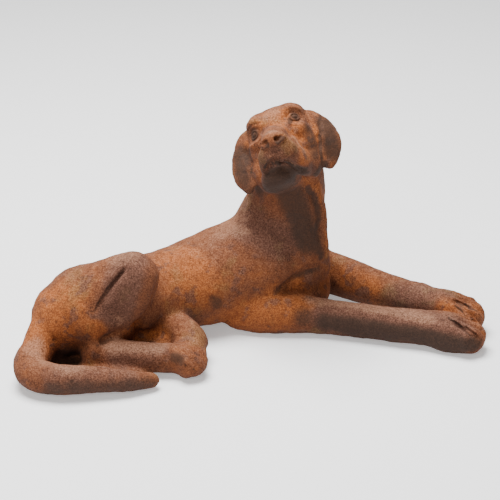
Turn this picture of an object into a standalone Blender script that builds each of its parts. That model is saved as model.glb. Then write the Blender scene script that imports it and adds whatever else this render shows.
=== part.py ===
"""Cast iron statue of a reclining hound, life size and cast in one piece.

Metres, +Z up. +X runs from the curled tail towards the forepaws, -Y is the side the dog turns its
head to, and the origin is on the ground at the middle of the footprint.

The figure is built as a modeller builds it in clay. Rolls and balls of clay are pressed together,
smoothed and carved with grooves and hollows. Every place on the figure is written in millimetres of
that clay pattern, and the casting is the pattern brought to LENGTH.
"""

import math

import bmesh
import bpy
import numpy as np
from mathutils import Matrix, Vector

LENGTH = 0.92
CLAY_GRAIN = 3.0
EDGE_SOFTNESS = 7.0
PLAIN_SOFTNESS = 16.0
TRIANGLES = 9400

GROUND_FLATNESS = 1.0
RUST = (0.19, 0.085, 0.045, 1.0)

EAR_THICKNESS = 11.0
TAIL_ROOT = 33.0
TAIL_TIP = 17.0

HEAD_PLACE = Vector((63.0, 60.0, 388.0))
HEAD_SCALE = 1.07
HEAD_TURN = 18.0
HEAD_LIFT = 34.0
HEAD_TILT = 27.0

FIRM_PLACES = [
    (HEAD_PLACE, 92),
    ((425, -60, 35), 45),
    ((425, 5, 35), 45),
    ((-120, -130, 35), 45),
    ((-260, -170, 60), 40),
    ((-335, -190, 60), 40),
]

# Each paw is its wrist, its toes, half its width and half its height
NEAR_FOREPAW = ((350, -43, 38), (435, -70, 30), 43, 37)
FAR_FOREPAW = ((350, 42, 48), (441, 10, 35), 42, 40)
NEAR_HINDPAW = ((-122, -170, 32), (-106, -176, 30), 37, 34)

RING_SIDES = 28
RINGS_PER_SPAN = 5
UP = Vector((0.0, 0.0, 1.0))
END_ANGLES = tuple(math.radians(angle) for angle in (0, 30, 60, 80))


def through(stations, steps):
    """Rows of numbers on a smooth curve through the stations, with so many steps between each two."""
    rows = np.array(stations, float)
    padded = np.vstack([2 * rows[0] - rows[1], rows, 2 * rows[-1] - rows[-2]])
    found = []
    for span in range(len(rows) - 1):
        before, start, end, after = padded[span : span + 4]
        for t in np.arange(steps) / steps:
            found.append(
                0.5
                * (
                    2 * start
                    + (end - before) * t
                    + (2 * before - 5 * start + 4 * end - after) * t**2
                    + (3 * start - before - 3 * end + after) * t**3
                )
            )
    found.append(rows[-1])
    return np.array(found)


class Clay:
    """Closed forms in one mesh, still overlapping. place turns and moves each form as it is added."""

    def __init__(self):
        self.mesh = bmesh.new()
        self.place = Matrix.Identity(4)

    def ball(self, centre, radii, turns=(0, 0, 0)):
        """An ellipsoid. turns are degrees about its own X, Y and Z."""
        turned = Matrix.Translation(centre)
        for angle, axis in zip(turns, "XYZ"):
            turned = turned @ Matrix.Rotation(math.radians(angle), 4, axis)
        shape = self.place @ turned @ Matrix.Diagonal((*radii, 1))
        bmesh.ops.create_icosphere(self.mesh, subdivisions=4, radius=1, matrix=shape)

    def roll(self, stations, up=UP, square=1.0, blunt=1.0):
        """A roll of clay with round ends. A station is x, y, z, half width, half height.

        A square under 1 flattens the sides of its sections and keeps their rims thick, and a
        blunt under 1 flattens its ends.
        """
        rows = through(stations, RINGS_PER_SPAN)
        places = [Vector(row[:3]) for row in rows]
        steps = [(b - a).normalized() for a, b in zip(places, places[1:])]
        ahead = [steps[0], *[(a + b).normalized() for a, b in zip(steps, steps[1:])], steps[-1]]
        roll = bmesh.new()
        rings = []
        for index, (centre, along, row) in enumerate(zip(places, ahead, rows)):
            angles = END_ANGLES if index in (0, len(rows) - 1) else (0,)
            outward = -along if index == 0 else along
            reach = min(row[3], row[4]) * blunt
            sections = [
                section(
                    roll,
                    centre + outward * reach * math.sin(angle),
                    along,
                    row[3:5] * math.cos(angle),
                    up,
                    square,
                )
                for angle in angles
            ]
            rings += reversed(sections) if index == 0 else sections
        for ring, after in zip(rings, rings[1:]):
            bmesh.ops.bridge_loops(roll, edges=ring + after)
        for ring in (rings[0], rings[-1]):
            bmesh.ops.contextual_create(roll, geom=ring)
        bmesh.ops.recalc_face_normals(roll, faces=roll.faces)
        roll.transform(self.place)
        shape = bpy.data.meshes.new("roll")
        roll.to_mesh(shape)
        roll.free()
        self.mesh.from_mesh(shape)
        bpy.data.meshes.remove(shape)


def section(roll, centre, along, halves, up, square):
    """The edges of one section of a roll, square to the way it runs."""
    side = along.cross(up).normalized()
    top = side.cross(along)
    ring = bmesh.ops.create_circle(roll, segments=RING_SIDES, radius=1)["verts"]
    for vertex in ring:
        across, over = (math.copysign(abs(x) ** square, x) for x in vertex.co.xy)
        vertex.co = centre + side * across * halves[0] + top * over * halves[1]
    return list({edge for vertex in ring for edge in vertex.link_edges})


def head_matrix():
    """From the head's own frame (X to its right, Y along the muzzle, Z up) to the pattern's."""
    return (
        Matrix.Translation(HEAD_PLACE)
        @ Matrix.Rotation(math.radians(180 - HEAD_TURN), 4, "Z")
        @ Matrix.Rotation(math.radians(HEAD_LIFT), 4, "X")
        @ Matrix.Rotation(math.radians(HEAD_TILT), 4, "Y")
        @ Matrix.Scale(HEAD_SCALE, 4)
    )


def torso(clay):
    """Rump, loin, ribs and chest, along a back that bends towards the near side, and the seat."""
    clay.roll(
        [
            (-350, -104, 92, 72, 76),
            (-322, -94, 100, 88, 88),
            (-260, -50, 98, 90, 82),
            (-185, 10, 90, 84, 80),
            (-110, 56, 90, 94, 90),
            (-40, 88, 100, 105, 98),
            (25, 104, 114, 102, 104),
            (72, 100, 126, 78, 84),
        ]
    )
    clay.ball((102, 118, 54), (66, 88, 62))
    clay.ball((-328, -75, 40), (84, 62, 44))


def neck(clay):
    """The upright neck and the loose skin down its front."""
    forward = Vector((0.25, -1, 0))
    clay.roll(
        [
            (42, 112, 150, 92, 92),
            (62, 108, 205, 88, 84),
            (75, 98, 262, 77, 76),
            (74, 84, 318, 73, 70),
            (72, 72, 370, 62, 62),
        ],
        up=forward,
    )
    clay.roll([(112, 78, 110, 42, 42), (104, 66, 190, 38, 38), (94, 56, 280, 34, 34)], up=forward)
    clay.roll([(138, 80, 112, 28, 28), (138, 66, 185, 20, 22), (135, 60, 240, 19, 20), (121, 52, 300, 18, 18)])


def foreleg_near(clay):
    clay.ball((5, 58, 118), (84, 56, 92), (0, -25, 0))
    clay.roll([(50, 52, 140, 50, 45), (15, 44, 92, 46, 46), (-18, 30, 54, 38, 42)])
    clay.roll(
        [
            (-25, 26, 42, 34, 42),
            (30, 22, 42, 42, 48),
            (80, 18, 42, 40, 45),
            (140, 10, 37, 35, 38),
            (220, -10, 36, 33, 36),
            (300, -31, 36, 34, 36),
            (350, -43, 37, 36, 36),
        ]
    )
    paw(clay, *NEAR_FOREPAW)


def foreleg_far(clay):
    clay.ball((96, 182, 124), (62, 48, 88), (0, -15, 0))
    clay.roll([(108, 195, 130, 48, 46), (122, 215, 90, 44, 44)])
    clay.roll(
        [
            (115, 225, 50, 42, 44),
            (170, 200, 45, 40, 46),
            (220, 158, 45, 38, 44),
            (270, 112, 46, 37, 40),
            (320, 70, 49, 36, 38),
            (350, 46, 51, 37, 38),
        ]
    )
    paw(clay, *FAR_FOREPAW)


def paw(clay, wrist, toes, half_width, half_height):
    """The back of a paw from the wrist to the toes, and a knuckle for each of its four toes."""
    along, side = paw_axes(wrist, toes)
    wrist, toes = Vector(wrist), Vector(toes)
    clay.roll(
        [
            (*wrist, half_width * 0.82, half_height * 0.9),
            (*wrist.lerp(toes, 0.55), half_width * 0.96, half_height),
            (*toes, half_width * 0.92, half_height * 0.8),
        ],
        square=0.75,
    )
    for place, reach in ((-0.7, -4), (-0.24, 5), (0.24, 5), (0.7, -4)):
        knuckle = toes + side * place * half_width + along * reach + UP * 4
        clay.ball(knuckle, (half_width * 0.36, half_width * 0.36, half_height * 0.65))


def paw_axes(wrist, toes):
    """The level ways along a paw and across it."""
    along = Vector(toes) - Vector(wrist)
    along.z = 0
    along.normalize()
    return along, along.cross(UP)


def hindleg_near(clay):
    """The folded near leg: thigh up to a raised knee, shin down to the hock, foot forward."""
    clay.roll([(-328, -98, 108, 72, 72), (-280, -102, 144, 62, 62), (-222, -106, 183, 45, 47)])
    clay.roll(
        [
            (-213, -108, 180, 42, 44),
            (-232, -114, 135, 44, 43),
            (-260, -116, 88, 39, 36),
            (-286, -126, 52, 30, 30),
        ],
        up=Vector((1, 0, 0)),
    )
    clay.ball((-296, -146, 40), (30, 42, 50))
    clay.roll([(-270, -160, 38, 31, 33), (-210, -160, 33, 29, 30), (-135, -164, 32, 28, 29)])
    paw(clay, *NEAR_HINDPAW)


def hindleg_far(clay):
    """The leg underneath: its thigh lies on the ground, its foot curls round to the near one."""
    clay.ball((-275, -5, 62), (95, 60, 60), (0, 0, 25))
    clay.ball((-196, -58, 20), (88, 74, 34))
    foot = [(-225, -62, 44, 26, 30), (-180, -62, 50, 28, 32), (-140, -72, 48, 32, 34)]
    clay.roll([*foot, (-114, -108, 38, 34, 34)])
    clay.ball((-118, -136, 30), (36, 38, 32))


def tail(clay):
    """Down from the rump, round on the ground and forward along the near side."""
    route = [
        (-364, -112, 100),
        (-386, -134, 80),
        (-405, -166, 50),
        (-415, -204, 40),
        (-398, -238, 35),
        (-350, -254, 35),
        (-292, -250, 33),
        (-236, -244, 27),
        (-184, -226, 18),
    ]
    last = len(route) - 1
    stations = []
    for index, place in enumerate(route):
        swell = 1 + 0.3 * max(0, 1 - index / 2)
        taper = max(0, index / last - 0.4) / 0.6
        radius = (TAIL_ROOT + (TAIL_TIP - TAIL_ROOT) * taper**1.5) * swell
        stations.append((*place, radius, radius))
    clay.roll(stations)
    clay.ball((-328, -165, 2), (62, 52, 18))
    clay.ball((-388, -120, 24), (38, 38, 32))
    clay.ball((-270, -188, 8), (80, 50, 24))


def head(clay):
    """Skull, muzzle, lips, jaw and nose, in the head's own frame."""
    clay.place = head_matrix()
    clay.ball((0, -22, 18), (62, 68, 57))
    bridge = [(0, 8, 2, 30, 26), (0, 40, 0, 26, 24), (0, 70, -12, 24, 22), (0, 92, -22, 23, 20)]
    clay.roll(bridge, blunt=0.7)
    clay.roll([(0, 0, -30, 42, 42), (0, 45, -34, 38, 38), (0, 80, -36, 30, 26)], blunt=0.7)
    clay.roll([(14, -20, -60, 34, 26), (20, 25, -71, 33, 19), (17, 60, -77, 28, 17)], square=0.7)
    clay.ball((0, 86, -43), (37, 23, 24))
    clay.ball((-3, 106, -28), (28, 14, 17))
    for side in (-1, 1):
        clay.ball((side * 29, 10, 42), (26, 25, 18))
        clay.ball((side * 26, -8, 44), (31, 34, 27))
        clay.ball((side * 34, 14, 6), (24, 25, 25))
        clay.ball((side * 40, -14, -14), (25, 44, 50))
        clay.ball((side * 42 + 4, -6, -44), (22, 34, 36))
    clay.roll([(14, 84, -43, 17, 20), (21, 66, -49, 20, 25), (26, 40, -53, 19, 27), (30, 12, -54, 18, 28)])
    clay.roll([(-14, 84, -45, 17, 20), (-21, 66, -51, 19, 26), (-27, 42, -56, 18, 27), (-29, 14, -54, 16, 26)])
    clay.place = Matrix.Identity(4)


def ears(clay):
    """Flat flaps that hang from the sides of the skull, each with its own swing."""
    clay.place = head_matrix()
    thick = EAR_THICKNESS / 2
    right = [(65, -13, 29, 24), (80, -12, 4, 27), (88, -8, -26, 26), (83, -4, -56, 17)]
    left = [(-64, -18, 30, 21), (-81, -20, 6, 25), (-84, -20, -24, 26), (-68, -16, -57, 20)]
    for flap, facing in ((right, (0.5, 0.85, 0.1)), (left, (-0.8, 0.6, 0.1))):
        stations = [(*row, thick + 3 * (index == 0)) for index, row in enumerate(flap)]
        clay.roll(stations, up=Vector(facing), square=0.55, blunt=3)
    clay.place = Matrix.Identity(4)


class Skin:
    """The figure's skin under a modelling tool, which pushes it in or out along its own normals."""

    def __init__(self, figure):
        self.figure = figure
        count = len(figure.data.vertices)
        self.points = np.empty(count * 3)
        self.normals = np.empty(count * 3)
        figure.data.vertices.foreach_get("co", self.points)
        figure.data.vertices.foreach_get("normal", self.normals)
        self.points = self.points.reshape(-1, 3)
        self.normals = self.normals.reshape(-1, 3)

    def groove(self, route, width, depth, place=Matrix.Identity(4)):
        """A valley along the route, which is laid on the skin first and fades at both ends."""
        line = [place @ Vector(point) for point in through(route, 8)]
        line = np.array([self.figure.closest_point_on_mesh(point)[1] for point in line])
        low, high = line.min(0) - width, line.max(0) + width
        near = np.flatnonzero(((self.points > low) & (self.points < high)).all(1))
        starts, runs = line[:-1], np.diff(line, axis=0)
        lengths = np.maximum((runs**2).sum(1), 1e-9)
        offsets = self.points[near][:, None, :] - starts
        share = np.clip((offsets * runs).sum(2) / lengths, 0, 1)
        gaps = np.linalg.norm(offsets - share[..., None] * runs, axis=2)
        closest = gaps.argmin(1)
        rows = np.arange(len(near))
        away = gaps[rows, closest] / width
        along = (closest + share[rows, closest]) / len(runs)
        fade = np.sin(np.clip(np.minimum(along, 1 - along) * 4, 0.05, 1) * math.pi / 2) ** 2
        push = np.where(away < 1, (1 - away**2) ** 2, 0) * fade * depth
        self.points[near] -= self.normals[near] * push[:, None]

    def hollow(self, centre, radius, depth, place=Matrix.Identity(4)):
        """A round dent, or with a negative depth a swelling."""
        middle = self.figure.closest_point_on_mesh(place @ Vector(centre))[1]
        away = np.linalg.norm(self.points - np.array(middle), axis=1) / radius
        push = np.where(away < 1, (1 - away**2) ** 2, 0) * depth
        self.points -= self.normals * push[:, None]

    def finish(self):
        self.points[:, 2] = np.maximum(self.points[:, 2], 0)
        self.figure.data.vertices.foreach_set("co", self.points.ravel())
        self.figure.data.update()


def carve(figure):
    skin = Skin(figure)
    carve_body(skin)
    carve_paws(skin)
    carve_face(skin)
    skin.finish()


def carve_body(skin):
    """The folds where the limbs meet the body, and the loose skin of the shoulder and throat."""
    skin.groove([(-225, -130, 215), (-245, -140, 195), (-265, -150, 170), (-295, -165, 125)], 10, 9)
    skin.groove([(-175, -115, 190), (-185, -125, 155), (-190, -125, 125), (-215, -125, 75)], 16, 6)
    skin.groove([(-290, -175, 65), (-275, -165, 75), (-260, -160, 80), (-225, -140, 90)], 14, 7)
    skin.groove([(-215, -145, 110), (-215, -125, 80), (-210, -105, 50), (-165, -105, 45)], 22, 12)
    skin.groove([(0, 55, 230), (25, 35, 215), (50, 30, 200), (85, 30, 180)], 12, 3.5)
    skin.groove([(-10, 55, 220), (15, 35, 205), (40, 25, 190)], 12, 3)
    skin.groove([(45, 0, 85), (70, 30, 95), (90, 35, 110), (115, 40, 120), (140, 45, 125)], 20, 8)
    skin.groove([(-40, 5, 160), (-40, -10, 130), (-40, -15, 100), (-25, -10, 65)], 24, 4)
    skin.groove([(170, 175, 80), (185, 145, 65), (195, 130, 45)], 16, 3)
    skin.groove([(115, 25, 305), (125, 25, 285), (135, 40, 255), (140, 40, 210), (145, 45, 155)], 12, 5)


def carve_paws(skin):
    """Three grooves on each paw, which fan out between its toes and turn down its front."""
    for (wrist, toes, half_width, half_height), start in (
        (NEAR_FOREPAW, -1.2),
        (FAR_FOREPAW, -1.2),
        (NEAR_HINDPAW, -0.5),
    ):
        along, side = paw_axes(wrist, toes)
        size = Vector((half_width, half_width, half_height))
        steps = ((start, 0.7, 1.3), (-0.2, 0.9, 1.2), (0.3, 1.1, 0.7), (0.7, 1.2, -0.2))
        for place in (-0.6, 0.05, 0.7):
            route = [
                Vector(toes) + (along * ahead + side * place * fan + UP * height) * size
                for ahead, fan, height in steps
            ]
            skin.groove(route, 10, 7)


def carve_face(skin):
    """Eye sockets, brows, nostrils, lips and the folds beside the ears."""
    head = head_matrix()
    for side in (-1, 1):
        skin.hollow((side * 40, 32, 29 - 2 * side), 20, 9, head)
        skin.hollow((side * 32, 30, 48), 18, -3, head)
    skin.groove([(72, -6, 24), (68, 0, -8), (63, 0, -38)], 12, 5, head)
    skin.groove([(-76, -18, 28), (-74, -6, 3), (-68, -4, -19), (-60, -2, -45)], 9, 3, head)
    for place in ((12, 117, -31), (-12, 117, -30)):
        skin.hollow(place, 9, 5, head)
    skin.groove([(0, 100, -65), (10, 98, -62), (20, 90, -61), (30, 82, -65), (38, 64, -74)], 9, 9, head)
    skin.groove([(0, 100, -66), (-10, 90, -72), (-22, 76, -82), (-33, 56, -88), (-40, 28, -86)], 9, 9, head)
    skin.groove([(4, 107, -46), (3, 104, -55), (2, 98, -64)], 8, 3, head)


def press_together(clay, name):
    """One closed skin round all the forms, softened most away from the head and the paws."""
    mesh = bpy.data.meshes.new(name)
    clay.mesh.to_mesh(mesh)
    clay.mesh.free()
    figure = resurfaced(bpy.data.objects.new(name, mesh))
    points = np.array([vertex.co for vertex in figure.data.vertices])
    softness = np.ones(len(points))
    for centre, reach in FIRM_PLACES:
        softness *= np.clip(np.linalg.norm(points - np.array(centre), axis=1) / reach - 1, 0, 1)
    plain = figure.vertex_groups.new(name="plain")
    for index, weight in enumerate(softness.tolist()):
        plain.add([index], weight, "REPLACE")
    for softness, group in ((EDGE_SOFTNESS, ""), (PLAIN_SOFTNESS, "plain")):
        soften = figure.modifiers.new("soften", "SMOOTH")
        soften.factor = 0.5
        soften.iterations = round(2 * (softness / CLAY_GRAIN) ** 2)
        soften.vertex_group = group
    return applied(figure)


def resurfaced(thing):
    skin = thing.modifiers.new("skin", "REMESH")
    skin.mode = "VOXEL"
    skin.voxel_size = CLAY_GRAIN
    return applied(thing)


def applied(thing):
    """A new object that keeps what the modifiers of the given one make."""
    if thing.name not in bpy.context.scene.collection.objects:
        bpy.context.scene.collection.objects.link(thing)
    mesh = bpy.data.meshes.new_from_object(thing.evaluated_get(bpy.context.evaluated_depsgraph_get()))
    name = thing.name
    bpy.data.objects.remove(thing)
    made = bpy.data.objects.new(name, mesh)
    bpy.context.scene.collection.objects.link(made)
    bpy.context.view_layer.update()
    return made


def cast(figure):
    """The carved pattern with a plain skin of few facets, at the size of the casting."""
    figure = resurfaced(figure)
    fewer = figure.modifiers.new("fewer", "DECIMATE")
    fewer.ratio = TRIANGLES / (2 * len(figure.data.polygons))
    fewer.use_collapse_triangulate = True
    figure = applied(figure)
    points = np.array([vertex.co for vertex in figure.data.vertices])
    points[points[:, 2] < GROUND_FLATNESS, 2] = 0
    low, high = points.min(0), points.max(0)
    points -= ((low[0] + high[0]) / 2, (low[1] + high[1]) / 2, 0)
    points *= LENGTH / (high[0] - low[0])
    figure.data.vertices.foreach_set("co", points.ravel())
    figure.data.update()
    return figure


def rusted_iron():
    material = bpy.data.materials.new("rusted cast iron")
    material.use_nodes = True
    surface = material.node_tree.nodes["Principled BSDF"]
    surface.inputs["Base Color"].default_value = RUST
    surface.inputs["Roughness"].default_value = 0.85
    surface.inputs["Metallic"].default_value = 0.15
    return material


def main():
    for thing in list(bpy.data.objects):
        bpy.data.objects.remove(thing)
    clay = Clay()
    for form in (torso, neck, foreleg_near, foreleg_far, hindleg_near, hindleg_far, tail, head, ears):
        form(clay)
    figure = press_together(clay, "reclining_hound")
    carve(figure)
    figure = cast(figure)
    figure.data.materials.append(rusted_iron())
    statue = bpy.data.collections.new("reclining hound statue")
    bpy.context.scene.collection.children.link(statue)
    statue.objects.link(figure)
    bpy.context.scene.collection.objects.unlink(figure)
    return figure


if __name__ == "__main__":
    main()
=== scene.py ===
"""The looks of a rusted cast iron hound: its carved skin, its rust with painted shade and highlight,
and the studio that it lies in.

The skin is modelled as in clay, in millimetres of a pattern in which +X runs from the tail to the
forepaws and +Z is up. The finished pattern is brought to the box of the CAD solid that it stands for.
"""

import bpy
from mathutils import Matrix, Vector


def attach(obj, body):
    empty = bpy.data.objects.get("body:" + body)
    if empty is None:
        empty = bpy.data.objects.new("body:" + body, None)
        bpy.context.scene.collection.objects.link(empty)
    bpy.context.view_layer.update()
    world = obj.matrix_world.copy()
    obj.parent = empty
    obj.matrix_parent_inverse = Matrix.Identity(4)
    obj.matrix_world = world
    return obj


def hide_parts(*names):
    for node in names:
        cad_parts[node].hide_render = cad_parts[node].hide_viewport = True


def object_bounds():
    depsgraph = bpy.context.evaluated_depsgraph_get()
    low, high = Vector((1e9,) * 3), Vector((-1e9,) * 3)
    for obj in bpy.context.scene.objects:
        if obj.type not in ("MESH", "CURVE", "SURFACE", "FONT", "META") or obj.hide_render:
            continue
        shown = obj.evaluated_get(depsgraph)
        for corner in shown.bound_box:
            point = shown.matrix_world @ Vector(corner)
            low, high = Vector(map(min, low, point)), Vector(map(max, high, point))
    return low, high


bl_info = {
    "name": "Rusted Iron Hound",
    "version": (1, 0, 0),
    "blender": (4, 5, 0),
    "location": "3D View > Sidebar > Hound",
    "description": "Models a reclining cast iron hound, rusts it and lights it",
    "category": "Object",
}

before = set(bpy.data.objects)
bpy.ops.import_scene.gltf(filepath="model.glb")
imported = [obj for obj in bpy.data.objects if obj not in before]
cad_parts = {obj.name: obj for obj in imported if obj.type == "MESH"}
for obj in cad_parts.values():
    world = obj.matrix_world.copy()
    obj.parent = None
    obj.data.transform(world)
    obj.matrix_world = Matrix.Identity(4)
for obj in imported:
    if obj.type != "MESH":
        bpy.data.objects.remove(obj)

import math

import bmesh
import bpy
import mathutils.noise
import numpy as np
from bpy.props import FloatProperty, FloatVectorProperty, IntProperty, PointerProperty
from mathutils import Matrix, Vector

SOLID = "reclining_hound"
CAD_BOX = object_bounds()

# Where the head sits on the pattern, how large it is, and how far it is turned, lifted and tilted
HEAD_PLACE = Vector((63.0, 60.0, 388.0))
HEAD_SCALE = 1.07
HEAD_TURN = 18.0
HEAD_LIFT = 34.0
HEAD_TILT = 27.0

# Where the clay is softened least, as middles and reaches: the head and both forepaws come first
FINE_PLACES = [(HEAD_PLACE, 92), ((425, -60, 35), 45), ((425, 5, 35), 45)]
FIRM_PLACES = [
    *FINE_PLACES,
    ((-120, -130, 35), 45),
    ((-260, -170, 60), 40),
    ((-335, -190, 60), 40),
]

# Each paw is its wrist, its toes, half its width and half its height
NEAR_FOREPAW = ((350, -43, 38), (435, -70, 30), 43, 37)
FAR_FOREPAW = ((350, 42, 48), (441, 10, 35), 42, 40)
NEAR_HINDPAW = ((-122, -170, 32), (-106, -176, 30), 37, 34)

# How finely a roll of clay is made
RING_SIDES = 28
RINGS_PER_SPAN = 5
END_ANGLES = tuple(math.radians(angle) for angle in (0, 30, 60, 80))

UP = Vector((0.0, 0.0, 1.0))

# In metres: the lamps, the place that they are turned to, and the middle of the picture
KEY_PLACE = Vector((-0.5, 0.3, 3.2))
FILL_PLACE = Vector((-1.2, -2.4, 1.3))
LIT_PLACE = Vector((0, 0, 0.15))
PICTURE_MIDDLE = Vector((-0.0132, 0.0588, 0.1641))

# From one broad wave of the casting to the next, and from one small wave to the next
BROAD_WAVE = 26
SMALL_WAVE = 9

# Round the middle of an eye: the skin that is looked at, how far the eye's shape reaches, how
# softly it ends, and the ring of face that its level is taken from
EYE_ROOM = 34
EYE_REACH = 23
EYE_FADE = 6
FACE_RING = (19, 27)

# Eyeball, lids and socket, as distance from the middle of the eye and height over the face round it
EYE_PROFILE = [
    (0, -1.2),
    (2.5, -1.5),
    (4.2, -2.8),
    (5.2, -4.0),
    (6.5, -2.8),
    (8, -1.8),
    (9.5, -3.0),
    (11, -4.2),
    (14, -2.6),
    (18, -0.9),
    (22, 0),
    (27, 0),
]

# Rust, painted shade and painted highlight of a smaller reach than this are laid on the skin
SNAP_REACH = 30

# Middles of the larger casting pits
PITS = [
    (-420, -175, 45),
    (-410, -190, 35),
    (-425, -160, 60),
    (-380, -235, 45),
    (-330, -265, 40),
    (-300, -275, 45),
    (-345, -180, 120),
    (-375, -160, 75),
    (-120, -205, 40),
    (-105, -205, 30),
    (-110, -190, 60),
    (-60, -25, 80),
    (-75, -30, 95),
]

# Where each rust, painted shade and painted highlight lies thickest, as the points of a route, its
# reach and its strength
RUST_AND_PAINTED_LIGHT_PLACES = {
    "bright": [
        ([(-360, -160, 130), (-380, -170, 90)], 65, 1.0),
        ([(-295, -160, 100)], 28, 0.8),
        ([(-140, 0, 165), (-100, -35, 115)], 60, 0.7),
        ([(-50, 5, 25), (25, -20, 45), (100, 0, 80)], 50, 0.9),
        # Painted light: the lit strip down the front of the neck
        ([(150, 75, 260), (155, 75, 200), (160, 90, 130)], 22, 1.0),
        ([(160, 95, 75)], 50, 0.8),
        ([(205, 130, 70), (245, 90, 60)], 35, 0.5),
        ([(390, -5, 70)], 30, 1.0),
        # Painted light: lightens the shaded hollow between the shin and the far foot
        ([(-200, -100, 40), (-175, -90, 40)], 30, 1.0),
        ([(-225, -130, 70)], 30, 0.8),
        ([(40, 45, 440), (75, 30, 430), (110, 20, 410), (110, -35, 390)], 25, 0.8),
        ([(130, -10, 300), (150, 40, 300)], 30, 0.7),
        # Painted light: the lit strip beside the throat ridge
        ([(140, 45, 300), (155, 60, 255), (160, 60, 200), (165, 65, 160)], 15, 1.0),
    ],
    "plum": [
        ([(-225, -130, 220), (-255, -155, 130)], 50, 1.0),
        ([(-245, -185, 50), (-190, -175, 55)], 45, 0.8),
        ([(-50, 35, 180)], 60, 0.4),
        ([(0, 50, 220), (60, 30, 195)], 65, 0.9),
        ([(160, -25, 55), (295, -55, 60), (390, -95, 50)], 65, 1.0),
        ([(305, 45, 65), (380, 10, 80)], 50, 0.8),
        ([(-350, -280, 50), (-240, -265, 40)], 60, 0.7),
    ],
    # Mostly painted shade: down the neck front under the head, in creases, toe grooves and pits, in the
    # hollow by the tail, and under the legs and tail
    "dark": [
        ([(80, 20, 295), (100, 15, 250), (120, 30, 190)], 45, 1.0),
        ([(115, 25, 305), (135, 40, 255), (140, 35, 190), (145, 45, 150)], 12, 1.0),
        ([(75, -15, 310), (105, -15, 320)], 30, 1.0),
        ([(52, 8, 89), (92, 37, 113), (138, 44, 125)], 12, 0.8),
        ([(105, -20, 50)], 35, 0.8),
        ([(200, -45, 25), (300, -75, 20), (400, -115, 20)], 45, 0.9),
        ([(170, 170, 40)], 40, 0.5),
        ([(-70, -25, 90), (-65, -25, 80)], 22, 0.8),
        ([(-350, -160, 25)], 50, 1.0),
        *(([pit], 5, 0.9) for pit in PITS),
        ([(-235, -135, 205), (-265, -150, 175), (-295, -165, 130)], 4, 0.9),
        ([(390, -65, 70), (415, -85, 55), (435, -100, 40)], 4, 0.9),
        ([(410, -10, 70), (425, -20, 60), (440, -40, 55)], 4, 0.9),
        ([(415, 5, 70), (435, -5, 65), (450, -10, 55)], 4, 0.9),
        ([(-290, -175, 65), (-275, -165, 75), (-260, -160, 80)], 8, 0.7),
        ([(-145, -195, 50), (-125, -195, 45)], 18, 0.9),
        ([(150, -30, 40), (240, -55, 38), (330, -85, 35), (400, -110, 32)], 29, 1.0),
        ([(-420, -180, 30), (-350, -275, 30), (-250, -265, 25), (-190, -235, 20)], 29, 0.75),
        ([(400, -110, 32), (440, -112, 32)], 28, 1.0),
    ],
    # Painted highlights, partly wear, on the tops of the legs, forearm, back, foot and tail
    "worn_and_highlit": [
        ([(-250, -165, 110), (-240, -160, 85)], 22, 1.0),
        ([(120, 5, 75), (180, 0, 70), (240, -20, 70), (295, -40, 70), (350, -65, 65)], 16, 0.9),
        ([(-40, 80, 215), (0, 85, 235)], 50, 0.7),
        ([(-260, -170, 60), (-225, -165, 65), (-180, -165, 70)], 29, 1.0),
        ([(-400, -200, 75), (-330, -250, 65)], 30, 1.0),
        ([(-240, -110, 225)], 35, 0.6),
    ],
}

# The line between the lips, in the head's own frame
MOUTH = [(30, 82, -65), (20, 90, -61), (9, 101, -60), (-5, 84, -68), (-14, 73, -78)]

# Where each rust, painted shade and painted highlight lies thickest on the head, in the same frame
HEAD_RUST_AND_PAINTED_LIGHT_PLACES = {
    "bright": [
        # Bright rust on the brow, partly painted highlight where it faces up
        ([(10, 45, 45), (-15, 50, 40)], 24, 0.9),
        ([(-45, 45, 5), (-42, 55, -30)], 9, 0.8),
        ([(65, -5, 20)], 12, 0.7),
        # Painted light: the lit strip of cheek before the ear fold
        ([(-66, 0, 10), (-64, 2, -20)], 6, 0.8),
    ],
    "plum": [
        ([(0, 100, -45), (15, 85, -45), (-20, 80, -50)], 24, 0.8),
        ([(20, 80, -72), (35, 40, -80), (45, 10, -80)], 28, 1.0),
        ([(0, 90, -80), (-20, 60, -86), (-40, 20, -86)], 28, 1.0),
    ],
    # Painted shade: under the jaw and the flews, along the mouth, in the ear folds, on the ears and
    # cheeks, in the eye sockets and nostrils, and under the nose
    "dark": [
        ([(25, 60, -88), (5, 55, -90), (15, 20, -92)], 34, 1.1),
        ([(28, 72, -80), (10, 84, -80), (-8, 74, -88), (-25, 50, -92)], 24, 1.2),
        ([*MOUTH, (-36, 30, -84)], 5, 1.3),
        ([(36, 50, -80), (42, 30, -84), (45, 10, -85)], 26, 1.0),
        ([(-60, -5, -65), (-52, 0, -85)], 16, 1.0),
        ([(-79, -21, 30), (-74, -6, 3), (-68, -4, -19), (-62, 0, -41), (-55, -4, -60)], 7, 1.0),
        ([(62, 5, 10), (64, 8, -20), (72, -5, -50)], 7, 0.9),
        ([(80, -10, 10), (82, -10, -30), (75, -15, -60)], 34, 0.95),
        ([(-85, -15, 10), (-82, -15, -40)], 34, 0.95),
        ([(-60, 20, 0), (-56, 20, -45)], 24, 0.85),
        ([(39, 27, 23)], 19, 1.1),
        ([(-30, 36, 18), (-32, 30, 26)], 8, 1.0),
        ([(-40, 28, 29)], 16, 1.0),
        ([(12, 120, -32)], 9, 1.1),
        ([(-12, 120, -31), (-21, 115, -28)], 8, 1.1),
        ([(12, 116, -24), (-14, 116, -24)], 16, 0.5),
    ],
    # Painted highlights, partly wear: the top of the nose, the brow, the rim of the upper lip and the
    # edge of the muzzle
    "worn_and_highlit": [
        ([(10, 106, -8), (-10, 106, -8)], 8, 0.9),
        ([(0, 40, 50)], 25, 0.6),
        ([(0, 98, -55), (-12, 86, -60), (-20, 74, -68), (-32, 50, -74)], 6, 1.2),
        ([(-38, 45, 0), (-36, 55, -25), (-34, 55, -50)], 7, 1.0),
    ],
}


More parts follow.
